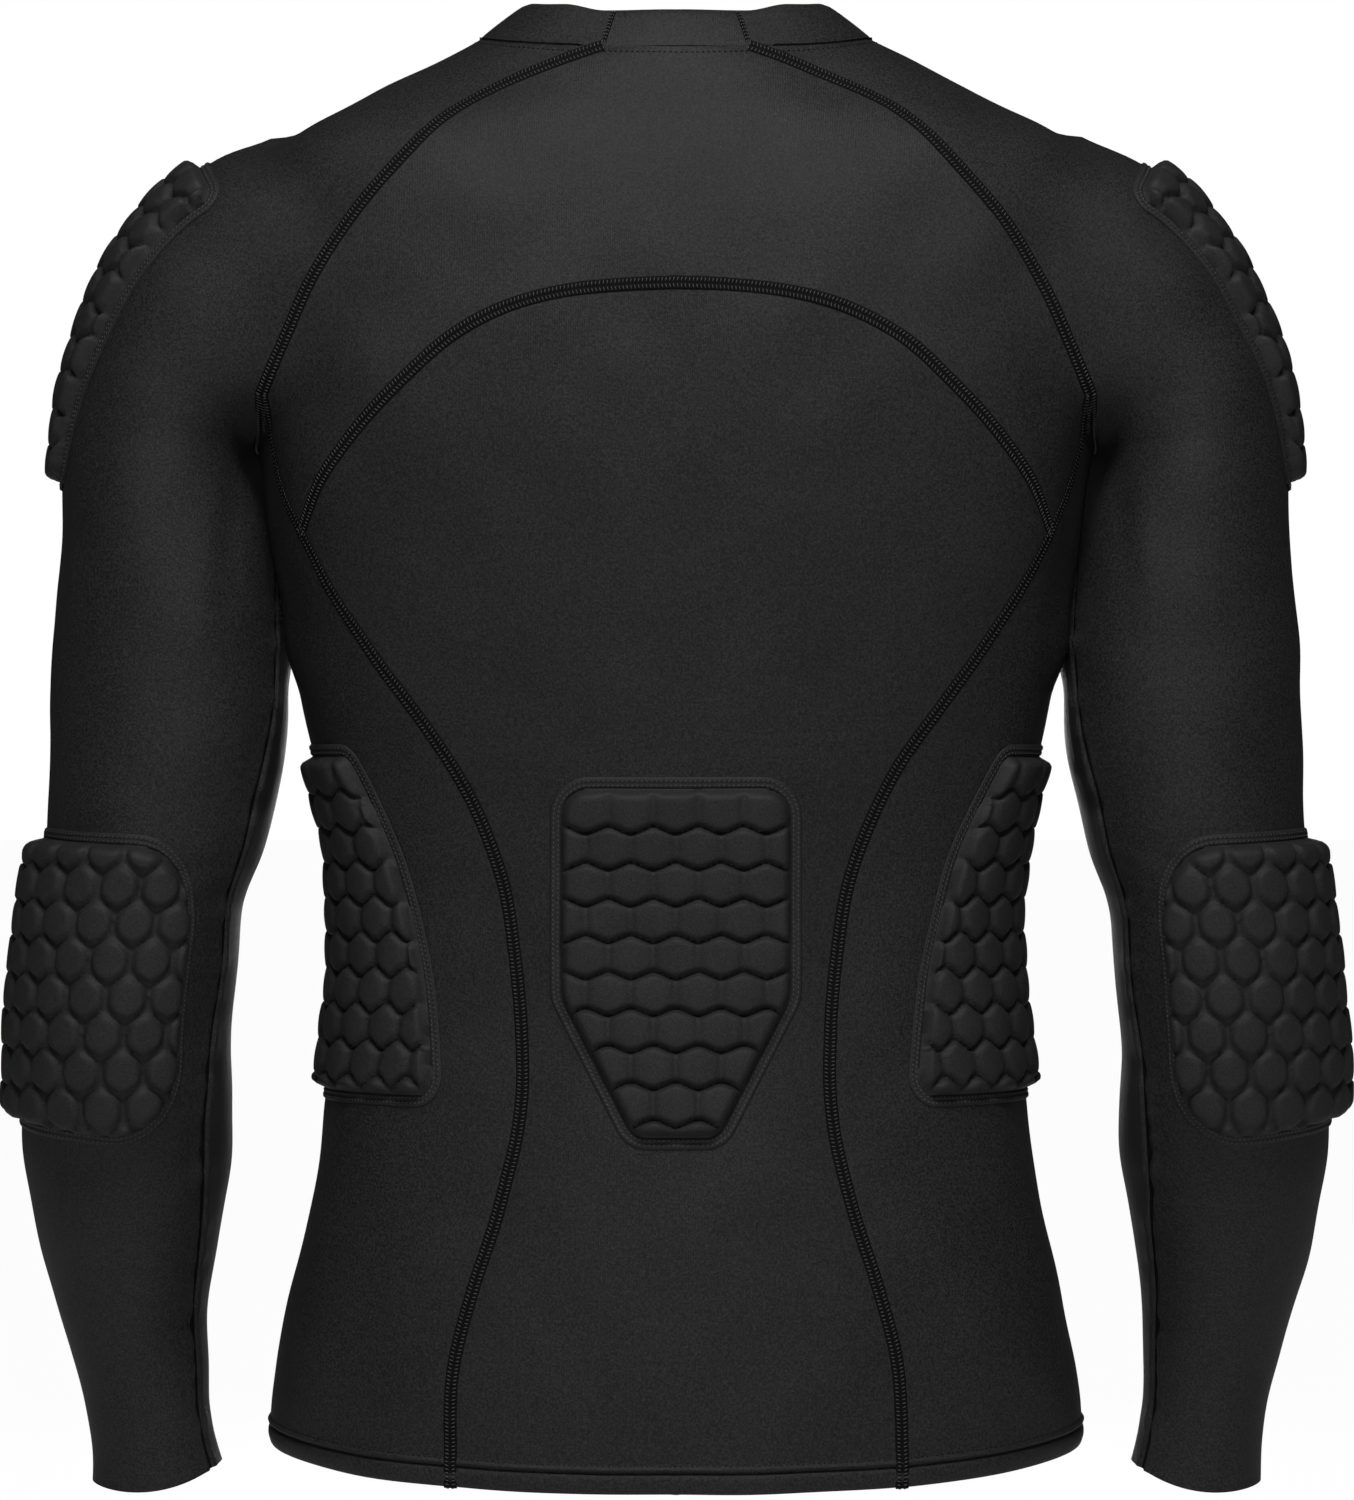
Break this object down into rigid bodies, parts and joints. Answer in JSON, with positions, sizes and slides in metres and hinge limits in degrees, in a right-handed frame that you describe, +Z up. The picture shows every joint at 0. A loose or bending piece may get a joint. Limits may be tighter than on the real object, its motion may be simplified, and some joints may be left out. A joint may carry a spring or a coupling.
{
  "type": "padded compression shirt",
  "caption": "Long-sleeved padded compression shirt in its worn, hollow shape, with quilted foam pads on shoulders, elbows, ribs and lower back",
  "frame": {"origin": "in the middle of the neck opening, level with the side neck seams, where a wearer holds the shirt up", "axes": "+Z up, +Y out of the back, -Y out of the front, +X towards the wearer's left"},
  "size_m": [0.6324, 0.22, 0.6986],
  "materials": {
    "cloth": "black stretch knit with a soft sheen",
    "padding": "black matt quilted foam covered with knit"
  },
  "bodies": {
    "root": {"back_pad": "padding", "back_panel": "cloth", "back_yoke": "cloth", "elbow_pad_left": "padding", "elbow_pad_right": "padding", "front_panel": "cloth", "neckband_back": "cloth", "neckband_round": "cloth", "shoulder_pad_left": "padding", "shoulder_pad_right": "padding", "side_pad_left": "padding", "side_pad_right": "padding", "side_panel_left": "cloth", "side_panel_right": "cloth", "sleeve_left": "cloth", "sleeve_right": "cloth"}
  },
  "joints": []
}
